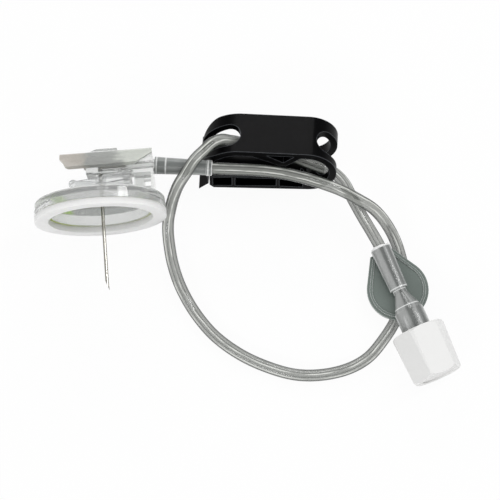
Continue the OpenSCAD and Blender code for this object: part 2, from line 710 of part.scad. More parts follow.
// Cap with flats, a plug for the female taper and a dimple in its end
module luer_cap() {
    plug_in = taper_len - 2;
    inner_end = cap_len - cap_end_t;
    flat_lean = atan((cap_r - cap_end_r) / cap_len);
    color([0.95, 0.95, 0.95]) in_connector() translate([0, 0, cap_start]) {
        difference() {
            rotate_extrude($fn = 96) polygon([[0, 0], [cap_r - cap_soft, 0], [cap_r, cap_soft],
                [cap_end_r + cap_soft / 4, cap_len - cap_soft], [cap_end_r - cap_soft, cap_len], [0, cap_len]]);
            translate([0, 0, -1]) cylinder(r = cap_bore_r, h = inner_end + 1);
            translate([0, 0, cap_len - dimple_d]) cylinder(r = dimple_r, h = dimple_d + 1);
            for (i = [0:flats - 1]) rotate([0, 0, 90 + cap_phase + i * 360 / flats]) translate([cap_r * flat_share, 0, 0])
                rotate([0, -flat_lean, 0]) translate([0, -cap_r, -2]) cube([2, 2 * cap_r, cap_len + 4]);
        }
        translate([0, 0, luer_len - cap_start - plug_in])
            cylinder(r1 = taper_r - taper_slope * plug_in - plug_fit,
                     r2 = taper_r - plug_fit + taper_slope * (cap_start + inner_end - luer_len),
                     h = inner_end + cap_start - luer_len + plug_in + eps);
    }
}

base_disc();
foam_pad();
adhesive_film();
needle();
hub();
wings();
front_upper_arm();
front_lower_arm();
rear_upper_arm();
rear_lower_arm();
sleeve();
tubing();
clamp();
luer_connector();
luer_cap();
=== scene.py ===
"""Looks of the port needle set: clear plastics, foam, steel, clamp, tubing and the studio."""

from __future__ import annotations

import logging
import math
from dataclasses import dataclass
from enum import Enum
from typing import Any, Sequence, Union

import bmesh
import bpy
from mathutils import Matrix, Vector

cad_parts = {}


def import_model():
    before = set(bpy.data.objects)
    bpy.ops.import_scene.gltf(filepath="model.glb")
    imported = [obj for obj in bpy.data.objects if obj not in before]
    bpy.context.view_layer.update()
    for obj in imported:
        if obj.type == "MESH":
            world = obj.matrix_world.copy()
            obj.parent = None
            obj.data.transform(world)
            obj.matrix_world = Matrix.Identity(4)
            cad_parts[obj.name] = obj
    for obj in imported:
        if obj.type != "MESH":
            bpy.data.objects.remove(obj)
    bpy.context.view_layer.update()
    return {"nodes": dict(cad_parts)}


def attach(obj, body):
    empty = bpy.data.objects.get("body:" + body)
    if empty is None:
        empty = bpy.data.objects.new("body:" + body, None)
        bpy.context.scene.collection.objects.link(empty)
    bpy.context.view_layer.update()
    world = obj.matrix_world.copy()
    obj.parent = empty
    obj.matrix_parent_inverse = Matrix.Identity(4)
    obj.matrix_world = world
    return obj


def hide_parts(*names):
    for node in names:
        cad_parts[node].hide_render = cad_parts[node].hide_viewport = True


LOG = logging.getLogger("port_needle")

Colour = tuple[float, float, float]
Point = Sequence[float]
Stops = tuple[tuple[float, float], ...]
Value = Union["Socket", float, int, Sequence[float]]
Settings = dict[str, Any]
Sockets = dict[Any, Value]

# Lengths are in millimetres of the part's frame unless a name says otherwise. A yaw is in degrees.
# A face with CAP_CORNERS corners or more is an end cap.
MM = 0.001
NEEDLE_X = 0.5
DISC_RADIUS = 13.6
STEM: Point = (11.6, 10.75, DISC_RADIUS)
STEM_YAW = -7.5
MOUTH: Point = (57.4, -9.0, 5.655)
MOUTH_YAW = -71.3
MOULDED_IOR = 1.5
CAP_CORNERS = 8
ARMS = ("front_upper_arm", "front_lower_arm", "rear_upper_arm", "rear_lower_arm")


class Body(Enum):
    """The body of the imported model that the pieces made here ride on."""

    SET = "set"


class Slot(Enum):
    """Names of material slots for the pieces made here; nothing in the script uses them."""

    TUBE = "clear_tube"
    VINYL = "soft_vinyl"


def tone(red: int, green: int, blue: int) -> Colour:
    """A linear colour from the way it looks on screen.

    Args:
        red: Red, 0 to 255.
        green: Green, 0 to 255.
        blue: Blue, 0 to 255.

    Returns:
        The linear colour.
    """

    def linear(level: int) -> float:
        """Linear light of one channel."""
        share = level / 255
        return share / 12.92 if share <= 0.04045 else ((share + 0.055) / 1.055) ** 2.4

    return linear(red), linear(green), linear(blue)


def heading(yaw: float) -> Vector:
    """The level direction at yaw degrees from the tubing's way out of the hub."""
    turn = math.radians(yaw)
    return Vector((math.cos(turn), math.sin(turn), 0.0))


def beside(yaw: float) -> Vector:
    """The level direction at a right angle to that heading."""
    turn = math.radians(yaw)
    return Vector((-math.sin(turn), math.cos(turn), 0.0))


class Socket:
    """One output of a node, on which shader maths is written as Python."""

    def __init__(self, recipe: Recipe, port: bpy.types.NodeSocket) -> None:
        """Keeps the port and the recipe it belongs to."""
        self.recipe = recipe
        self.port = port

    def _maths(self, operation: str, first: Value, second: Value) -> Socket:
        """One Math node on two values."""
        sockets: Sockets = {0: first, 1: second}
        return self.recipe.take("ShaderNodeMath", 0, {"operation": operation}, sockets)

    def __add__(self, other: Value) -> Socket:
        """Sum."""
        return self._maths("ADD", self, other)

    def __radd__(self, other: Value) -> Socket:
        """Sum, from the right."""
        return self._maths("ADD", other, self)

    def __sub__(self, other: Value) -> Socket:
        """Difference."""
        return self._maths("SUBTRACT", self, other)

    def __rsub__(self, other: Value) -> Socket:
        """Difference, from the right."""
        return self._maths("SUBTRACT", other, self)

    def __mul__(self, other: Value) -> Socket:
        """Product."""
        return self._maths("MULTIPLY", self, other)

    def __rmul__(self, other: Value) -> Socket:
        """Product, from the right."""
        return self._maths("MULTIPLY", other, self)

    def __truediv__(self, other: Value) -> Socket:
        """Quotient."""
        return self._maths("DIVIDE", self, other)

    def __pow__(self, other: Value) -> Socket:
        """Power."""
        return self._maths("POWER", self, other)

    def __gt__(self, other: Value) -> Socket:
        """One where this value is the larger, and otherwise nought."""
        return self._maths("GREATER_THAN", self, other)

    def held(self) -> Socket:
        """This value held between nought and one."""
        return self._maths("MINIMUM", self._maths("MAXIMUM", self, 0.0), 1.0)

    def centred(self) -> Socket:
        """A noise about nought in place of a half."""
        return self - 0.5


class Recipe:
    """A node material, or a sky, in the making."""

    def __init__(self, name: str, sky: bool = False) -> None:
        """Starts an empty node tree.

        Args:
            name: The material's or the sky's name.
            sky: Whether it is a sky.
        """
        self.made = (bpy.data.worlds if sky else bpy.data.materials).new(name)
        self.made.use_nodes = True
        self.tree = self.made.node_tree
        self.tree.nodes.clear()

    def node(self, kind: str, settings: Settings, sockets: Sockets) -> bpy.types.Node:
        """Adds one node.

        Args:
            kind: The node's type name.
            settings: Its settings, set before the sockets; "stops" fills a colour ramp.
            sockets: Values or links of its inputs, by name or number.

        Returns:
            The node.
        """
        made = self.tree.nodes.new(kind)
        for name, value in settings.items():
            if name == "stops":
                self._fill(made.color_ramp, value)
            else:
                setattr(made, name, value)
        for key, value in sockets.items():
            if isinstance(value, Socket):
                self.tree.links.new(value.port, made.inputs[key])
            else:
                made.inputs[key].default_value = value
        return made

    @staticmethod
    def _fill(ramp: bpy.types.ColorRamp, stops: Stops) -> None:
        """Gives a ramp its grey stops.

        Args:
            ramp: The ramp.
            stops: Its stops, (place, level).
        """
        while len(ramp.elements) < len(stops):
            ramp.elements.new(0.5)
        for element, (place, level) in zip(ramp.elements, stops):
            element.position = place
            element.color = (level, level, level, 1.0)

    def take(
        self, kind: str, output: Union[int, str], settings: Settings, sockets: Sockets
    ) -> Socket:
        """Adds one node and returns one of its outputs."""
        return Socket(self, self.node(kind, settings, sockets).outputs[output])

    def vector(self, operation: str, output: Union[int, str], sockets: Sockets) -> Socket:
        """Adds one Vector Math node."""
        return self.take("ShaderNodeVectorMath", output, {"operation": operation}, sockets)

    def place(self) -> Socket:
        """The surface point in millimetres of the part's frame."""
        spot = self.take("ShaderNodeTexCoord", "Object", {}, {})
        return self.vector("SCALE", 0, {0: spot, "Scale": 1 / MM})

    def axis(self, spot: Socket, letter: str) -> Socket:
        """One coordinate of a place, by its letter."""
        return self.take("ShaderNodeSeparateXYZ", letter, {}, {0: spot})

    def stretched(self, spot: Socket, factors: Point) -> Socket:
        """A place scaled by one factor on each axis."""
        return self.vector("MULTIPLY", 0, {0: spot, 1: factors})

    def noise(self, spot: Socket, scale: float, detail: float = 3.0) -> Socket:
        """Soft noise, about nought to one, with scale in waves per millimetre."""
        sockets: Sockets = {"Vector": spot, "Scale": scale, "Detail": detail}
        return self.take("ShaderNodeTexNoise", "Fac", {}, sockets)

    def cells(self, spot: Socket, scale: float) -> Socket:
        """Distance to the middle of the nearest cell, with scale in cells per millimetre."""
        return self.take("ShaderNodeTexVoronoi", "Distance", {}, {"Vector": spot, "Scale": scale})

    def normal(self) -> Socket:
        """The surface's own normal."""
        return self.take("ShaderNodeNewGeometry", "Normal", {}, {})

    def sided(self, lateral: Point) -> Socket:
        """How far the surface faces to one side: nought on the far side, one on the near one."""
        lean = self.vector("DOT_PRODUCT", "Value", {0: self.normal(), 1: lateral})
        return lean * 0.5 + 0.5

    def reach(self, spot: Socket, start: Point, ahead: Point) -> Socket:
        """Millimetres along a line from its start to the surface point."""
        off = self.vector("SUBTRACT", 0, {0: spot, 1: start})
        return self.vector("DOT_PRODUCT", "Value", {0: off, 1: ahead})

    def across(self) -> Socket:
        """How far the surface turns from the eye: nought face on, one at its outline."""
        facing = self.take("ShaderNodeLayerWeight", "Facing", {}, {"Blend": 0.5})
        return (facing * (2.0 - facing)) ** 0.5

    def edges(self, radius: float, gain: float) -> Socket:
        """One along the part's moulded edges, and nought on its faces.

        Args:
            radius: How far an edge reaches, in millimetres.
            gain: How sharply it comes up.

        Returns:
            The mask.
        """
        rounded = self.take("ShaderNodeBevel", "Normal", {"samples": 6}, {"Radius": radius * MM})
        same = self.vector("DOT_PRODUCT", "Value", {0: rounded, 1: self.normal()})
        return ((1.0 - same) * gain).held()

    def blend(self, factor: Value, first: Value, second: Value) -> Socket:
        """Mixes two colours."""
        sockets: Sockets = {0: factor, 6: four(first), 7: four(second)}
        return self.take("ShaderNodeMix", 2, {"data_type": "RGBA"}, sockets)

    def ramp(self, value: Socket, stops: Stops) -> Socket:
        """A level that follows the stops, (place, level)."""
        return self.take("ShaderNodeValToRGB", 0, {"stops": stops}, {0: value})

    def bump(self, height: Socket, depth: float, strength: float) -> Socket:
        """A normal from a height, with depth in millimetres."""
        sockets: Sockets = {"Strength": strength, "Distance": depth * MM, "Height": height}
        return self.take("ShaderNodeBump", 0, {}, sockets)

    def rays(self, *kinds: str) -> Socket:
        """One for rays of these kinds, and nought for all others."""
        return together([self.take("ShaderNodeLightPath", kind, {}, {}) for kind in kinds])

    def close(self, shader: bpy.types.Node, end: str = "ShaderNodeOutputMaterial") -> Any:
        """Leads a shader to the output.

        Args:
            shader: The last shader.
            end: The output's type name.

        Returns:
            The finished material or sky.
        """
        self.tree.links.new(shader.outputs[0], self.node(end, {}, {}).inputs["Surface"])
        return self.made

    def finish(self, sockets: Sockets) -> bpy.types.Material:
        """Closes the material with one Principled shader on these sockets."""
        return self.close(self.node("ShaderNodeBsdfPrincipled", {}, sockets))


def four(colour: Value) -> Value:
    """A colour with its alpha, or the link as it is."""
    return colour if isinstance(colour, Socket) else (*colour, 1.0)


def together(masks: Sequence[Socket]) -> Socket:
    """One where any of the masks is, and nought elsewhere."""
    return sum(masks[1:], masks[0]).held()


@dataclass(frozen=True)
class Ribbon:
    """Light and dark bands along a round clear part, as its wall bends the light."""

    lateral: Point
    stops: Stops
    share: float = 0.95
    wander: float = 0.06
    level_alpha: float = 0.6
    alpha_share: float = 0.5

    def level(self, recipe: Recipe, drift: Socket) -> Socket:
        """The bands' level, nought where dark, wavering with the drift."""
        turned = recipe.sided(self.lateral) + drift.centred() * self.wander
        return recipe.ramp(turned.held(), self.stops)


@dataclass(frozen=True)
class Rings:
    """Pale rings round a part, at places along its line."""

    start: Point
    ahead: Point
    places: tuple[float, ...]
    width: float = 0.22
    tint_share: float = 0.8
    alpha_share: float = 0.4

    def mask(self, recipe: Recipe, spot: Socket) -> Socket:
        """Draws the rings.

        Args:
            recipe: The material in the making.
            spot: The surface point.

        Returns:
            One on the rings and nought between them.
        """
        along = recipe.reach(spot, self.start, self.ahead)
        rings = []
        for at in self.places:
            off = (along - at) / self.width
            rings.append((1.0 - off * off).held())
        return together(rings)


@dataclass(frozen=True)
class Deep:
    """The thick lower part of a clear moulding, darker and denser."""

    below: float
    tint: Colour
    thin: float


@dataclass(frozen=True)
class Recess:
    """Painted shade on the ceiling of a round recess, with a few small specks left pale, and the
    film's green glow painted at both ends.
    """

    middle: Point = (0.0, 0.0, DISC_RADIUS)
    radius: float = 9.8
    facing: Point = (0.0, -1.0, 0.0)
    facing_from: float = 0.9
    # The ceiling's grey is painted shade, standing in for the shadow inside the recess.
    tint: Colour = tone(156, 160, 157)
    speck_cells: float = 0.55
    speck_size: Stops = ((0.0, 1.0), (0.13, 1.0), (0.18, 0.0))
    # The film's green glow, painted on the ceiling near both ends.
    glow: Colour = tone(150, 196, 40)
    glow_at: Stops = (
        (0.0, 0.1), (0.07, 0.85), (0.16, 0.8), (0.2, 0.0), (0.88, 0.0), (0.94, 0.3), (1.0, 0.1))
    glow_waves: float = 0.9
    glow_wander: float = 0.06

    def ceiling(self, recipe: Recipe, spot: Socket) -> Socket:
        """Finds the recess's ceiling.

        Args:
            recipe: The material in the making.
            spot: The surface point.

        Returns:
            One on the ceiling, and nought elsewhere.
        """
        flat = recipe.stretched(spot, tuple(1.0 - abs(c) for c in self.facing))
        away = recipe.vector("DISTANCE", "Value", {0: flat, 1: self.middle})
        return (recipe.sided(self.facing) > self.facing_from) * (1.0 - (away > self.radius))

    def tinted(self, recipe: Recipe, spot: Socket, colour: Socket) -> Socket:
        """The colour with the ceiling's painted shade, its pale specks and the film's green glow
        painted at both ends.

        Args:
            recipe: The material in the making.
            spot: The surface point.
            colour: The colour without the recess.

        Returns:
            The colour with it.
        """
        ceiling = self.ceiling(recipe, spot)
        specks = recipe.ramp(recipe.cells(spot, self.speck_cells), self.speck_size)
        across = (recipe.axis(spot, "X") + self.radius) / (2 * self.radius)
        cloud = recipe.noise(spot, self.glow_waves)
        ends = recipe.ramp((across + cloud.centred() * self.glow_wander).held(), self.glow_at)
        # Paints the recess's shade on the ceiling, leaving the specks pale, then paints the film's
        # glow near both ends.
        shaded = recipe.blend(ceiling * (1.0 - specks), colour, self.tint)
        return recipe.blend(ceiling * ends, shaded, self.glow)


@dataclass(frozen=True)
class ClearPlastic:
    """Clear moulded plastic: pale faces, painted shade in the rim colour and a denser alpha towards
    its outline, and painted lines in the edge colour along its edges, where they bend the light.

    It is either real glass, with glass as its share, or thin and see-through, with an alpha
    that grows from thin on its faces to dense at its outline.
    """

    name: str
    face: Colour
    rim: Colour
    edge: Colour = tone(250, 250, 250)
    rim_power: float = 4.0
    rim_share: float = 0.8
    rim_cloud: float = 0.5
    thin: float = 0.16
    dense: float = 0.75
    dense_power: float = 3.0
    dense_cloud: float = 0.12
    line: float = 0.45
    line_reach: float = 0.16
    line_gain: float = 3.0
    roughness: float = 0.08
    scuff: float = 0.06
    waves: float = 0.35
    fine_ratio: float = 9.0
    fine_share: float = 0.15
    ripple_depth: float = 0.05
    ripple: float = 0.4
    glass: float = 0.0
    recess: Recess | None = None
    ribbon: Ribbon | None = None
    rings: Rings | None = None
    deep: Deep | None = None

    def make(self) -> bpy.types.Material:
        """Builds the material.

        Returns:
            The material.
        """
        recipe = Recipe(self.name)
        spot = recipe.place()
        flow = recipe.noise(spot, self.waves)
        fine = recipe.noise(spot, self.waves * self.fine_ratio, detail=2.0)
        turn = recipe.across()
        line = recipe.edges(self.line_reach, self.line_gain)
        # Painted shade: the rim colour darkens the faces towards the outline, where the wall bends
        # the light, with a cloudy drift.
        shade = (turn ** self.rim_power * self.rim_share + flow.centred() * self.rim_cloud).held()
        alpha = (self.thin + turn ** self.dense_power * (self.dense - self.thin) + line * self.line
                 + flow.centred() * self.dense_cloud)
        if self.ribbon:
            band = self.ribbon.level(recipe, flow)
            share = self.ribbon.share
            shade = shade * (1.0 - share) + (1.0 - band) * share
            alpha = alpha + (self.ribbon.level_alpha - band) * (self.ribbon.alpha_share * share)
        colour = recipe.blend(shade, self.face, self.rim)
        if self.recess:
            colour = self.recess.tinted(recipe, spot, colour)
        above: Value = 1.0
        if self.deep:
            above = recipe.axis(spot, "Z") > self.deep.below
            mask = 1.0 - above
            colour = recipe.blend(mask, colour, self.deep.tint)
            alpha = alpha + mask * (self.deep.thin - self.thin)
        # Painted edge lines: the edge colour along the moulded edges stands in for light that the
        # edges bend.
        colour = recipe.blend(line, colour, self.edge)
        if self.rings:
            ring = self.rings.mask(recipe, spot) * above
            colour = recipe.blend(ring * self.rings.tint_share, colour, self.edge)
            alpha = alpha + ring * self.rings.alpha_share
        return recipe.finish({
            "Base Color": colour,
            "Roughness": self.roughness + fine * self.scuff,
            "IOR": MOULDED_IOR,
            "Transmission Weight": self.glass,
            "Alpha": 1.0 if self.glass else alpha.held(),
            "Normal": recipe.bump(flow + fine * self.fine_share, self.ripple_depth, self.ripple),
        })


@dataclass(frozen=True)
class FilmFinish:
    """Adhesive film: pale, and yellow-green towards both ends of the ring."""

    name: str
    pale: Colour = tone(212, 214, 204)
    green: Colour = tone(192, 208, 112)
    green_at: Stops = ((0.0, 0.9), (0.2, 0.8), (0.42, 0.1), (0.66, 0.08), (0.9, 0.45), (1.0, 0.5))
    waves: float = 0.6
    wander: float = 0.08
    roughness: float = 0.4
    scuff: float = 0.15
    ripple_depth: float = 0.03
    ripple: float = 0.5
    thin: float = 0.55
    green_alpha: float = 0.4

    def make(self) -> bpy.types.Material:
        """Builds the material.

        Returns:
            The material.
        """
        recipe = Recipe(self.name)
        spot = recipe.place()
        across = (recipe.axis(spot, "X") + DISC_RADIUS) / (2 * DISC_RADIUS)
        cloud = recipe.noise(spot, self.waves)
        ends = recipe.ramp((across + cloud.centred() * self.wander).held(), self.green_at)
        return recipe.finish({
            "Base Color": recipe.blend(ends, self.pale, self.green),
            "Roughness": self.roughness + cloud * self.scuff,
            "Alpha": (self.thin + ends * self.green_alpha).held(),
            "Normal": recipe.bump(cloud, self.ripple_depth, self.ripple),
        })


@dataclass(frozen=True)
class SoftVinyl:
    """Soft cloudy vinyl, warm, then grey, then pale from one wing to the other, partly its own tint
    and partly painted light and shade, with painted highlights along its edges.
    """

    name: str
    warm: Colour = tone(206, 199, 190)
    cool: Colour = tone(172, 174, 171)
    pale: Colour = tone(226, 230, 222)
    left_end: float = -9.0
    width: float = 21.0
    cool_at: Stops = ((0.0, 0.0), (0.28, 0.2), (0.34, 1.0), (0.62, 0.9), (0.7, 0.1), (1.0, 0.0))
    pale_at: Stops = ((0.3, 0.0), (0.6, 1.0))
    flow_stretch: Point = (0.5, 1.6, 1.0)
    waves: float = 0.5
    wander: float = 0.35
    fine_waves: float = 4.0
    edge_reach: float = 0.25
    edge_gain: float = 2.5
    edge_highlight_share: float = 0.6
    roughness: float = 0.22
    scuff: float = 0.12
    fine_share: float = 0.1
    ripple_depth: float = 0.12
    ripple: float = 0.5
    thin: float = 0.66
    rim_power: float = 4.0
    rim_alpha: float = 0.3
    edge_alpha: float = 0.25
    cloud_alpha: float = 0.3

    def make(self) -> bpy.types.Material:
        """Builds the material.

        Returns:
            The material.
        """
        recipe = Recipe(self.name)
        spot = recipe.place()
        cloud = recipe.noise(recipe.stretched(spot, self.flow_stretch), self.waves)
        fine = recipe.noise(spot, self.fine_waves)
        rim = recipe.across() ** self.rim_power * self.rim_alpha
        line = recipe.edges(self.edge_reach, self.edge_gain)
        across = (recipe.axis(spot, "X") - self.left_end) / self.width
        # Warm, grey and pale across the wings: partly the vinyl's own tint, partly painted light
        # and shade.
        along = (across + cloud.centred() * self.wander).held()
        ends = recipe.blend(recipe.ramp(along, self.pale_at), self.warm, self.pale)
        colour = recipe.blend(recipe.ramp(along, self.cool_at), ends, self.cool)
        alpha = self.thin + rim + line * self.edge_alpha + cloud.centred() * self.cloud_alpha
        # Painted highlight: the pale colour along the moulded edges.
        return recipe.finish({
            "Base Color": recipe.blend(line * self.edge_highlight_share, colour, self.pale),
            "Roughness": self.roughness + fine * self.scuff,
            "IOR": MOULDED_IOR,
            "Alpha": alpha.held(),
            "Normal": recipe.bump(cloud + fine * self.fine_share, self.ripple_depth, self.ripple),
        })


@dataclass(frozen=True)
class ClearTube:
    """Clear vinyl tubing: grey, with painted shade in bands that darken towards its outline, and
    broken painted highlights along it.

    The wall's stops of painted shade go from face on to the outline, and the painted highlights'
    stops once round the tube.
    """

    name: str
    dark: Colour = tone(52, 58, 52)
    light: Colour = tone(244, 246, 240)
    # Painted shade: the wall's bands, darker towards the outline, where the wall bends the light.
    wall: Stops = (
        (0.0, 0.34), (0.3, 0.28), (0.38, 0.05), (0.46, 0.38), (0.7, 0.42), (0.82, 0.14),
        (0.9, 0.0), (1.0, 0.0))
    wall_wander: float = 0.1
    # Painted highlights: bright streaks at fixed turns round the tube.
    highlight_streaks: Stops = (
        (0.055, 0.0), (0.075, 1.0), (0.09, 1.0), (0.105, 0.0), (0.4, 0.0), (0.43, 0.7),
        (0.46, 0.0), (0.915, 0.0), (0.93, 1.0), (0.948, 1.0), (0.965, 0.0))
    highlight_wander: float = 0.05
    highlight_share: float = 0.85
    highlight_alpha: float = 0.1
    break_stretch: Point = (0.22, 9.0, 0.0)
    breaks: Stops = ((0.4, 0.15), (0.58, 1.0))
    drift_waves: float = 0.25
    fine_waves: float = 3.0
    roughness: float = 0.03
    scuff: float = 0.04
    ripple_depth: float = 0.03
    ripple: float = 0.4
    body: float = 0.62
    rim_power: float = 4.0
    rim_alpha: float = 0.18
    drift_alpha: float = 0.16

    def make(self) -> bpy.types.Material:
        """Builds the material.

        Returns:
            The material.
        """
        recipe = Recipe(self.name)
        spot = recipe.place()
        wound = recipe.take("ShaderNodeUVMap", "UV", {"uv_map": Line.wound}, {})
        drift = recipe.noise(spot, self.drift_waves)
        patches = recipe.noise(recipe.stretched(wound, self.break_stretch), 1.0, detail=2.0)
        fine = recipe.noise(spot, self.fine_waves, detail=2.0)
        turn = recipe.across()
        # Painted shade: bands that darken towards the outline.
        level = recipe.ramp((turn + drift.centred() * self.wall_wander).held(), self.wall)
        # Painted highlights: bright streaks at fixed turns round the tube, broken in patches along
        # it.
        around = recipe.axis(wound, "Y") + drift.centred() * self.highlight_wander
        highlight = recipe.ramp(around.held(), self.highlight_streaks) * recipe.ramp(patches, self.breaks)
        alpha = (self.body + turn ** self.rim_power * self.rim_alpha
                 + drift.centred() * self.drift_alpha + highlight * self.highlight_alpha)
        lit = (level + highlight * self.highlight_share).held()
        return recipe.finish({
            "Base Color": recipe.blend(lit, self.dark, self.light),
            "Roughness": self.roughness + fine * self.scuff,
            "IOR": MOULDED_IOR,
            "Alpha": alpha.held(),
            "Normal": recipe.bump(fine, self.ripple_depth, self.ripple),
        })


@dataclass(frozen=True)
class MouldedPlastic:
    """Solid moulded plastic with a fine spark-eroded grain, and painted highlights in the edge
    colour along its edges.
    """

    name: str
    base: Colour
    edge: Colour
    roughness: float = 0.36
    cloud_scuff: float = 0.15
    grain_scuff: float = 0.06
    waves: float = 0.4
    grain_waves: float = 14.0
    grain_depth: float = 0.02
    grain: float = 0.6
    edge_highlight: float = 0.5
    gloss: float = 0.5
    mottle: float = 0.2
    coat: float = 0.0
    coat_roughness: float = 0.12
    edge_reach: float = 0.25
    edge_gain: float = 2.5

    def make(self) -> bpy.types.Material:
        """Builds the material.

        Returns:
            The material.
        """
        recipe = Recipe(self.name)
        spot = recipe.place()
        cloud = recipe.noise(spot, self.waves)
        grain = recipe.noise(spot, self.grain_waves, detail=4.0)
        line = recipe.edges(self.edge_reach, self.edge_gain)
        # Painted highlight: the edge colour along the moulded edges stands in for light caught
        # there; the mottle is the plastic's own uneven tone.
        shade = (line * self.edge_highlight + cloud.centred() * self.mottle).held()
        scuff = cloud.centred() * self.cloud_scuff
        return recipe.finish({
            "Base Color": recipe.blend(shade, self.base, self.edge),
            "Roughness": self.roughness + scuff + grain * self.grain_scuff,
            "Specular IOR Level": self.gloss,
            "Coat Weight": self.coat,
            "Coat Roughness": self.coat_roughness,
            "Normal": recipe.bump(grain, self.grain_depth, self.grain),
        })


@dataclass(frozen=True)
class FoamFinish:
    """White closed-cell foam with cut cells at its surface, painted shade in their hollows, and
    light spread inside it.
    """

    name: str
    base: Colour = tone(251, 251, 250)
    pore_shade: Colour = tone(222, 222, 220)
    cells: float = 4.5
    cell_gain: float = 1.6
    cell_depth: float = 0.06
    cell_relief: float = 0.7
    pore_power: float = 3.0
    pore_share: float = 0.5
    waves: float = 0.8
    cloud_share: float = 0.3
    cloud_height: float = 0.4
    roughness: float = 0.85
    scuff: float = 0.1
    spread: float = 0.6
    spread_scale: float = 0.6
    spread_radius_m: Point = (0.005, 0.005, 0.005)

    def make(self) -> bpy.types.Material:
        """Builds the material.

        Returns:
            The material.
        """
        recipe = Recipe(self.name)
        spot = recipe.place()
        cells = recipe.cells(spot, self.cells)
        cloud = recipe.noise(spot, self.waves)
        # Painted shade: the cells' hollows are darkened; the cloud is the foam's own uneven tone.
        pores = (1.0 - cells * self.cell_gain).held() ** self.pore_power
        shade = (pores * self.pore_share + cloud.centred() * self.cloud_share).held()
        relief = cells + cloud * self.cloud_height
        return recipe.finish({
            "Base Color": recipe.blend(shade, self.base, self.pore_shade),
            "Roughness": self.roughness + cloud * self.scuff,
            "Subsurface Weight": self.spread,
            "Subsurface Radius": self.spread_radius_m,
            "Subsurface Scale": self.spread_scale,
            "Normal": recipe.bump(relief, self.cell_depth, self.cell_relief),
        })


@dataclass(frozen=True)
class NeedleSteel:
    """Drawn stainless steel, with faint lines along it and warm dark bands of painted reflection
    towards its outline.
    """

    name: str
    bright: Colour = tone(214, 212, 205)
    # Painted reflection: the warm dark colour and its bands towards the outline.
    reflection_dark: Colour = tone(92, 84, 70)
    reflection_at: Stops = (
        (0.0, 0.0), (0.35, 0.1), (0.6, 0.75), (0.78, 0.15), (0.92, 0.9), (1.0, 1.0))
    reflection_share: float = 0.85
    line_stretch: Point = (14.0, 0.35, 14.0)
    line_share: float = 0.4
    line_depth: float = 0.01
    line_relief: float = 0.5
    roughness: float = 0.2
    scuff: float = 0.15

    def make(self) -> bpy.types.Material:
        """Builds the material.

        Returns:
            The material.
        """
        recipe = Recipe(self.name)
        drawn = recipe.stretched(recipe.place(), self.line_stretch)
        lines = recipe.noise(drawn, 1.0, detail=4.0)
        # Painted reflection: warm dark bands by how far the surface turns from the eye.
        dark = recipe.ramp(recipe.across(), self.reflection_at)
        shade = (dark * self.reflection_share + lines.centred() * self.line_share).held()
        return recipe.finish({
            "Base Color": recipe.blend(shade, self.bright, self.reflection_dark),
            "Metallic": 1.0,
            "Roughness": self.roughness + lines * self.scuff,
            "Normal": recipe.bump(lines, self.line_depth, self.line_relief),
        })


@dataclass
class Head:
    """The needle's head: base with foam, hub, wings, arms and needle.

    The wings' rear keeps rear_width of its width, which it reaches narrowing times sooner than
    its end, and rear_droop of its droop. Angles are in degrees.
    """

    nodes: dict[str, bpy.types.Object]
    rear_width: float = 0.52
    rear_droop: float = 0.35
    narrowing: float = 1.6
    flat_angle: float = 1.0
    soft_edge: float = 0.35
    soft_edge_steps: int = 3
    soft_edge_angle: float = 30.0

    def soft_wings(self) -> bpy.types.Object:
        """Shapes the soft wings from their solid: the rear half drawn in, all edges rounded.

        Returns:
            The wings' object.
        """
        mesh = bmesh.new()
        mesh.from_mesh(self.nodes["wings"].data)
        bmesh.ops.dissolve_limit(mesh, angle_limit=math.radians(self.flat_angle), verts=mesh.verts,
                                 edges=mesh.edges)
        top = max(v.co.y for v in mesh.verts)
        fold, middle = DISC_RADIUS * MM, NEEDLE_X * MM
        deep = fold - min(v.co.z for v in mesh.verts)
        for vert in mesh.verts:
            rear = min(max((fold - vert.co.z) / deep, 0.0), 1.0)
            narrow = 1 - (1 - self.rear_width) * min(1.0, self.narrowing * rear)
            vert.co.x = middle + (vert.co.x - middle) * narrow
            vert.co.y = top - (top - vert.co.y) * (1 - (1 - self.rear_droop) * rear)
        bmesh.ops.triangulate(mesh, faces=mesh.faces)
        made = placed("soft_wings", mesh)
        rounding = made.modifiers.new("soft_edge", "BEVEL")
        rounding.width, rounding.segments = self.soft_edge * MM, self.soft_edge_steps
        rounding.limit_method = "ANGLE"
        rounding.angle_limit = math.radians(self.soft_edge_angle)
        rounding.harden_normals = True
        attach(made, Body.SET.value)
        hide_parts("wings")
        return made

    def dress(self) -> list[str]:
        """Gives each solid of the head its finish.

        Returns:
            The names of the dressed pieces.
        """
        disc = ClearPlastic("clear_disc_finish", tone(252, 253, 252), tone(238, 241, 239),
                            glass=0.74, roughness=0.02, recess=Recess())
        hub = ClearPlastic("clear_hub_finish", tone(251, 252, 251), tone(226, 230, 227),
                           glass=0.82, roughness=0.03)
        arm = ClearPlastic("clear_arm_finish", tone(251, 252, 252), tone(226, 229, 228),
                           glass=0.78, roughness=0.03)
        wings = self.soft_wings()
        paint(wings, SoftVinyl("soft_vinyl_finish").make())
        made = {
            "base_disc": disc.make(),
            "hub": hub.make(),
            "adhesive_film": FilmFinish("adhesive_finish").make(),
            "foam_pad": FoamFinish("foam_finish").make(),
            "needle": NeedleSteel("needle_steel").make(),
            **dict.fromkeys(ARMS, arm.make()),
        }
        for name, material in made.items():
            paint(self.nodes[name], material)
        return [*made, wings.name]


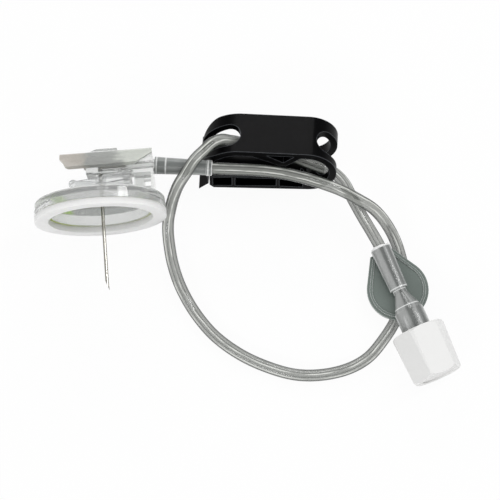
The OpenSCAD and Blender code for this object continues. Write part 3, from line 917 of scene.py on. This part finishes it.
@dataclass
class Line:
    """The tubing with its lumen and glue beads, and the sleeve it leaves.

    The route is the one that the tubing's solid follows.
    """

    nodes: dict[str, bpy.types.Object]
    radius: float = 1.25
    sides: int = 24
    lumen: float = 0.5
    lumen_sides: int = 12
    step: float = 0.8
    stem_from: float = 1.66
    stem_to: float = 12.1
    straight: float = 1.4
    depth: float = 7.0
    bead_at: float = -0.2
    mouth_bead: tuple[float, float] = (1.78, 0.34)
    sleeve_bead: tuple[float, float] = (1.42, 0.14)
    sleeve_rings: tuple[float, ...] = (0.7, 2.6, 11.4)
    sleeve_bands: Stops = (
        (0.0, 0.9), (0.06, 0.2), (0.26, 0.4), (0.31, 1.0), (0.36, 0.25), (0.6, 0.1),
        (0.68, 0.25), (0.73, 1.0), (0.78, 0.3), (0.94, 0.35), (1.0, 0.9))
    wound: str = "along"
    route: tuple[Point, ...] = (
        (27, 8.7, 13.6), (32, 8.1, 13.6), (37.5, 7.1, 13.5), (42, 5.8, 13.2), (46, 4.4, 12.5),
        (50, 2.8, 11.4), (53.5, 1, 9.7), (56.6, -0.7, 7.3), (59.1, -3.4, 4.7), (60.9, -7, 2.6),
        (61.9, -11.3, 1.3), (62.2, -15.5, 1.3), (61.4, -19.5, 1.3), (59.4, -23.5, 1.3),
        (56.6, -27.3, 1.3), (53, -30.9, 1.3), (48.5, -33, 1.3), (43, -33.8, 1.3),
        (37.5, -33.3, 1.3), (32, -31.3, 1.3), (26.5, -28.2, 1.3), (21.5, -23.9, 1.3),
        (17.8, -18.8, 1.4), (15.2, -13.4, 2.2), (13.8, -8.3, 3.6), (13.35, -3.3, 5.6),
        (13.56, -0.15, 7.4), (14.25, 2.02, 9.3), (15.19, 3.98, 11.9), (16.49, 5.85, 14.6),
        (18.35, 7.83, 16.6), (20.3, 10.3, 17.1), (22.2, 12, 17), (24.18, 13.68, 16.68),
        (26.06, 14.55, 15.48), (27.68, 14.58, 14.22), (29.59, 14.57, 12.54), (34, 13.3, 10.8),
        (38.9, 12.2, 9.6), (43.1, 10.5, 8.4), (45.96, 9.38, 7.51), (48.63, 8.28, 6.77),
        (50.9, 5.8, 6.4), (52.5, 2, 6.3), (54.2, -1.8, 5.95), (55.7, -4.9, 5.7),
    )

    def along_stem(self, reach: float) -> Vector:
        """A point on the stem's axis, reach millimetres from the hub."""
        return Vector(STEM) + reach * heading(STEM_YAW)

    def along_mouth(self, reach: float) -> Vector:
        """A point on the connector's axis, reach millimetres into its socket."""
        return Vector(MOUTH) + reach * heading(MOUTH_YAW)

    def path(self) -> list[Vector]:
        """The tube's smooth centre line.

        Returns:
            Its points in metres.
        """
        halfway = (self.stem_from + self.stem_to) / 2
        rough = [*(self.along_stem(at) for at in (self.stem_from, halfway, self.stem_to)),
                 *(Vector(p) for p in self.route),
                 *(self.along_mouth(at) for at in (-self.straight, 0, self.depth))]
        line: list[Vector] = []
        for i in range(len(rough) - 1):
            before = rough[max(i - 1, 0)]
            after = rough[min(i + 2, len(rough) - 1)]
            count = max(1, round((rough[i + 1] - rough[i]).length / self.step))
            line += [between(before, rough[i], rough[i + 1], after, k / count)
                     for k in range(count)]
        line.append(rough[-1])
        return [p * MM for p in line]

    def beads(self) -> list[bpy.types.Object]:
        """Makes and dresses the glue where the tube enters connector and sleeve.

        Returns:
            The beads' objects.
        """
        glue = ClearPlastic("adhesive_bead_finish", tone(252, 252, 252), tone(240, 241, 240),
                            edge=(0.8, 0.82, 0.81), thin=0.92, dense=1.0, roughness=0.15,
                            waves=1.2).make()
        made = [
            bead("mouth_adhesive", self.along_mouth(self.bead_at), heading(MOUTH_YAW),
                 *self.mouth_bead),
            bead("sleeve_adhesive", self.along_stem(self.stem_to), heading(STEM_YAW),
                 *self.sleeve_bead),
        ]
        for piece in made:
            paint(piece, glue)
        return made

    def dress_sleeve(self) -> None:
        """Gives the sleeve its finish."""
        finish = ClearPlastic(
            "sleeve_finish", tone(214, 217, 215), tone(98, 104, 102), edge=tone(240, 241, 240),
            thin=0.45, dense=0.9, roughness=0.12, waves=0.5,
            ribbon=Ribbon(beside(STEM_YAW), self.sleeve_bands),
            rings=Rings(STEM, heading(STEM_YAW), self.sleeve_rings))
        paint(self.nodes["sleeve"], finish.make())

    def build(self) -> list[str]:
        """Makes the tube, its lumen and its beads, and dresses the sleeve.

        Returns:
            The names of the pieces.
        """
        path = self.path()
        tube = hose("tube_wall", path, self.radius * MM, self.sides)
        bore = hose("tube_lumen", path, self.lumen * MM, self.lumen_sides)
        paint(tube, ClearTube("clear_tube_finish").make())
        paint(bore, ClearTube("lumen_finish", body=0.1).make())
        beads = self.beads()
        for piece in (tube, bore, *beads):
            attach(piece, Body.SET.value)
        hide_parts("tubing")
        length = sum((b - a).length for a, b in zip(path, path[1:]))
        self.dress_sleeve()
        return [tube.name, bore.name, *(piece.name for piece in beads), "sleeve"]


@dataclass
class Clamp:
    """The black pinch clamp."""

    nodes: dict[str, bpy.types.Object]

    def dress(self) -> list[str]:
        """Gives the clamp its finish.

        Returns:
            The name of the dressed piece.
        """
        # The clamp's grey edge colour is a painted highlight along its edges.
        black = MouldedPlastic("black_plastic_finish", tone(3, 3, 4), tone(96, 99, 103),
                               roughness=0.3, gloss=0.04, edge_highlight=0.9, mottle=0.01, coat=0.03,
                               edge_reach=0.3, edge_gain=4.0)
        paint(self.nodes["clamp"], black.make())
        return ["clamp"]


@dataclass
class LuerEnd:
    """The clear connector and its white cap."""

    nodes: dict[str, bpy.types.Object]
    plate_top: float = 4.25
    ring_places: tuple[float, ...] = (9.15, 9.6, 13.4)
    ring_width: float = 0.16
    bands: Stops = (
        (0.0, 1.0), (0.05, 0.2), (0.16, 0.8), (0.3, 0.72), (0.42, 0.12), (0.55, 0.05),
        (0.63, 0.4), (0.68, 1.0), (0.73, 0.3), (0.86, 0.1), (0.95, 0.45), (1.0, 1.0))

    def dress(self) -> list[str]:
        """Gives the connector and the cap their finishes.

        Returns:
            The names of the dressed pieces.
        """
        clear = ClearPlastic(
            "clear_luer_finish", tone(240, 242, 241), tone(66, 71, 68), edge=tone(240, 242, 241),
            thin=0.55, dense=0.85, line=0.5, waves=0.2,
            deep=Deep(self.plate_top, tone(112, 122, 117), 0.82),
            rings=Rings(MOUTH, heading(MOUTH_YAW), self.ring_places, self.ring_width),
            ribbon=Ribbon(beside(MOUTH_YAW), self.bands))
        # The cap's paler edge colour is a painted highlight along its edges.
        white = MouldedPlastic("white_plastic_finish", tone(236, 236, 235), tone(248, 248, 248),
                               roughness=0.42, edge_highlight=0.8)
        paint(self.nodes["luer_connector"], clear.make())
        paint(self.nodes["luer_cap"], white.make())
        return ["luer_connector", "luer_cap"]


@dataclass(frozen=True)
class Lamp:
    """One soft area lamp: where it stands and its size, in metres, and its power in watts."""

    name: str
    at: Point
    size: tuple[float, float]
    power: float

    def build(self, aim: Vector) -> None:
        """Adds the lamp.

        Args:
            aim: The point that it faces, in metres.
        """
        data = bpy.data.lights.new(self.name, "AREA")
        data.shape = "RECTANGLE"
        data.size, data.size_y = self.size
        data.energy = self.power
        lamp = bpy.data.objects.new(self.name, data)
        lamp.location = self.at
        lamp.rotation_euler = (aim - Vector(self.at)).to_track_quat("-Z", "Y").to_euler()
        bpy.context.scene.collection.objects.link(lamp)


@dataclass
class Studio:
    """Pale floor, soft lamps, plain world and the camera, with its angles in degrees."""

    eye: Point = (30.17, -104.37, 427.42)
    roll: float = 4.5
    lean: float = 13.0
    lens: float = 149.04
    sensor: float = 36.0
    near_m: float = 0.01
    aim_m: Point = (0.03, -0.005, 0.005)
    floor_half_m: float = 3.0
    floor_grey: float = 0.92
    floor_seen: float = 0.94
    world: float = 0.72
    sky: Stops = ((0.0, 0.66), (0.3, 0.74), (0.6, 1.0), (1.0, 1.25))
    lamps: tuple[Lamp, ...] = (
        Lamp("key", (0.3, 0.1, 0.45), (0.06, 0.4), 0.7),
        Lamp("fill", (-0.2, -0.4, 0.35), (0.3, 0.1), 0.8),
        Lamp("back", (0.05, 0.45, 0.3), (0.4, 0.06), 0.5),
    )

    def build(self) -> None:
        """Adds everything that isn't part of the object."""
        self._floor()
        self._sky()
        for lamp in self.lamps:
            lamp.build(Vector(self.aim_m))
        self._camera()
        bpy.context.scene.view_settings.view_transform = "Standard"

    def _floor(self) -> None:
        """A wide floor, white to the eye and in reflections, that keeps a soft shadow."""
        half = self.floor_half_m
        corners = [(-half, -half, 0), (half, -half, 0), (half, half, 0), (-half, half, 0)]
        mesh = bpy.data.meshes.new("floor")
        mesh.from_pydata(corners, [], [(0, 1, 2, 3)])
        floor = bpy.data.objects.new("floor", mesh)
        bpy.context.scene.collection.objects.link(floor)
        recipe = Recipe("floor_white")
        seen = recipe.rays("Is Camera Ray", "Is Glossy Ray", "Is Transmission Ray")
        grey = (self.floor_grey, self.floor_grey, self.floor_grey, 1.0)
        matt = recipe.take("ShaderNodeBsdfDiffuse", 0, {}, {"Color": grey})
        white = (1.0, 1.0, 1.0, 1.0)
        glow = recipe.take("ShaderNodeEmission", 0, {}, {"Color": white, "Strength": 1.0})
        mix = recipe.node("ShaderNodeMixShader", {}, {0: seen * self.floor_seen, 1: matt, 2: glow})
        floor.data.materials.append(recipe.close(mix))

    def _sky(self) -> None:
        """A plain sky, which reflections see brighter above and darker at the horizon."""
        recipe = Recipe("studio_sky", sky=True)
        ahead = recipe.take("ShaderNodeTexCoord", "Generated", {}, {})
        mirrored = recipe.rays("Is Glossy Ray", "Is Transmission Ray")
        level = mirrored * recipe.ramp(recipe.axis(ahead, "Z"), self.sky) + (1.0 - mirrored)
        back = recipe.node("ShaderNodeBackground", {}, {"Strength": level * self.world})
        bpy.context.scene.world = recipe.close(back, "ShaderNodeOutputWorld")

    def _camera(self) -> None:
        """The camera at the photographed angle."""
        roll, lean = math.radians(self.roll), math.radians(self.lean)
        out = Vector((0.0, -math.sin(lean), math.cos(lean)))
        back = Vector((0.0, math.cos(lean), math.sin(lean)))
        level = Vector((1.0, 0.0, 0.0))
        right = math.cos(roll) * level - math.sin(roll) * back
        up = math.sin(roll) * level + math.cos(roll) * back
        data = bpy.data.cameras.new("camera")
        data.lens = self.lens
        data.sensor_width = self.sensor
        data.clip_start = self.near_m
        camera = bpy.data.objects.new("camera", data)
        turn = Matrix((right, up, out)).transposed().to_4x4()
        camera.matrix_world = Matrix.Translation(Vector(self.eye) * MM) @ turn
        bpy.context.scene.collection.objects.link(camera)
        bpy.context.scene.camera = camera


def between(a: Vector, b: Vector, c: Vector, d: Vector, t: float) -> Vector:
    """A point of the smooth curve from b to c.

    Args:
        a: The point before b.
        b: Where the stretch starts.
        c: Where it ends.
        d: The point after c.
        t: How far along, from nought to one.

    Returns:
        The point.
    """
    bow = (2 * a - 5 * b + 4 * c - d) * t**2
    return 0.5 * (2 * b + (c - a) * t + bow + (3 * b - a - 3 * c + d) * t**3)


def hose(name: str, path: Sequence[Vector], radius: float, sides: int) -> bpy.types.Object:
    """A round tube along a path, without twist, with its length and turn as a UV map.

    Args:
        name: The piece's name.
        path: Its centre line, in metres.
        radius: Its radius, in metres.
        sides: How many sides its section has.

    Returns:
        The object.
    """
    mesh = bmesh.new()
    angles = [2 * math.pi * k / sides for k in range(sides)]
    rings = []
    side = Vector((0, 0, 1))
    for i, spot in enumerate(path):
        ahead = (path[min(i + 1, len(path) - 1)] - path[max(i - 1, 0)]).normalized()
        side = (side - ahead * side.dot(ahead)).normalized()
        up = ahead.cross(side)
        rings.append([mesh.verts.new(spot + radius * (math.cos(a) * side + math.sin(a) * up))
                      for a in angles])
    wound = mesh.loops.layers.uv.new(Line.wound)
    gone = 0.0
    for i, (first, second) in enumerate(zip(rings, rings[1:])):
        later = gone + (path[i + 1] - path[i]).length / MM
        for k in range(sides):
            after = (k + 1) % sides
            face = mesh.faces.new((first[k], first[after], second[after], second[k]))
            corners = ((gone, k), (gone, k + 1), (later, k + 1), (later, k))
            for loop, (run, turn) in zip(face.loops, corners):
                loop[wound].uv = (run, turn / sides)
        gone = later
    mesh.faces.new(list(reversed(rings[0])))
    mesh.faces.new(rings[-1])
    return placed(name, mesh)


def bead(name: str, middle: Vector, ahead: Vector, ring: float, thick: float) -> bpy.types.Object:
    """A ring of set adhesive with an uneven edge.

    Args:
        name: The piece's name.
        middle: Its middle, in millimetres.
        ahead: The direction that it rings, of length one.
        ring: Radius of its middle line, in millimetres.
        thick: Half its thickness, in millimetres.

    Returns:
        The object.
    """
    steps, section = 48, 10
    waves = ((3, 1.0, 0.25), (7, 0.0, 0.15))
    mesh = bmesh.new()
    side = ahead.orthogonal().normalized()
    up = ahead.cross(side)
    angles = [2 * math.pi * k / section for k in range(section)]
    loops = []
    for i in range(steps):
        turn = 2 * math.pi * i / steps
        out = math.cos(turn) * side + math.sin(turn) * up
        full = thick * (1.0 + sum(high * math.sin(n * turn + start) for n, start, high in waves))
        spots = (middle + out * (ring + full * math.cos(a)) + ahead * full * math.sin(a)
                 for a in angles)
        loops.append([mesh.verts.new(spot * MM) for spot in spots])
    for i, loop in enumerate(loops):
        after = loops[(i + 1) % steps]
        for k in range(section):
            beyond = (k + 1) % section
            mesh.faces.new((loop[k], loop[beyond], after[beyond], after[k]))
    return placed(name, mesh)


def placed(name: str, mesh: bmesh.types.BMesh) -> bpy.types.Object:
    """Turns a mesh in the making into a linked object, smooth but for its many-sided end caps.

    Args:
        name: The piece's name.
        mesh: Its mesh, which is used up.

    Returns:
        The object.
    """
    bmesh.ops.recalc_face_normals(mesh, faces=mesh.faces)
    data = bpy.data.meshes.new(name)
    for face in mesh.faces:
        face.smooth = len(face.verts) < CAP_CORNERS
    mesh.to_mesh(data)
    mesh.free()
    made = bpy.data.objects.new(name, data)
    bpy.context.scene.collection.objects.link(made)
    return made


def paint(piece: bpy.types.Object, material: bpy.types.Material) -> None:
    """Puts one material on all of a piece.

    Args:
        piece: The piece.
        material: Its finish.
    """
    if not piece.material_slots:
        piece.data.materials.append(material)
    for slot in piece.material_slots:
        slot.material = material


def main() -> None:
    """Loads the frame, dresses it piece by piece and logs the names of the dressed pieces."""
    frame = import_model()
    nodes = frame["nodes"]
    Studio().build()
    done = Line(nodes).build() + Head(nodes).dress() + Clamp(nodes).dress() + LuerEnd(nodes).dress()
    for name in done:
        LOG.info("dressed %s", name)


if __name__ == "__main__":
    logging.basicConfig(level=logging.INFO)
    main()
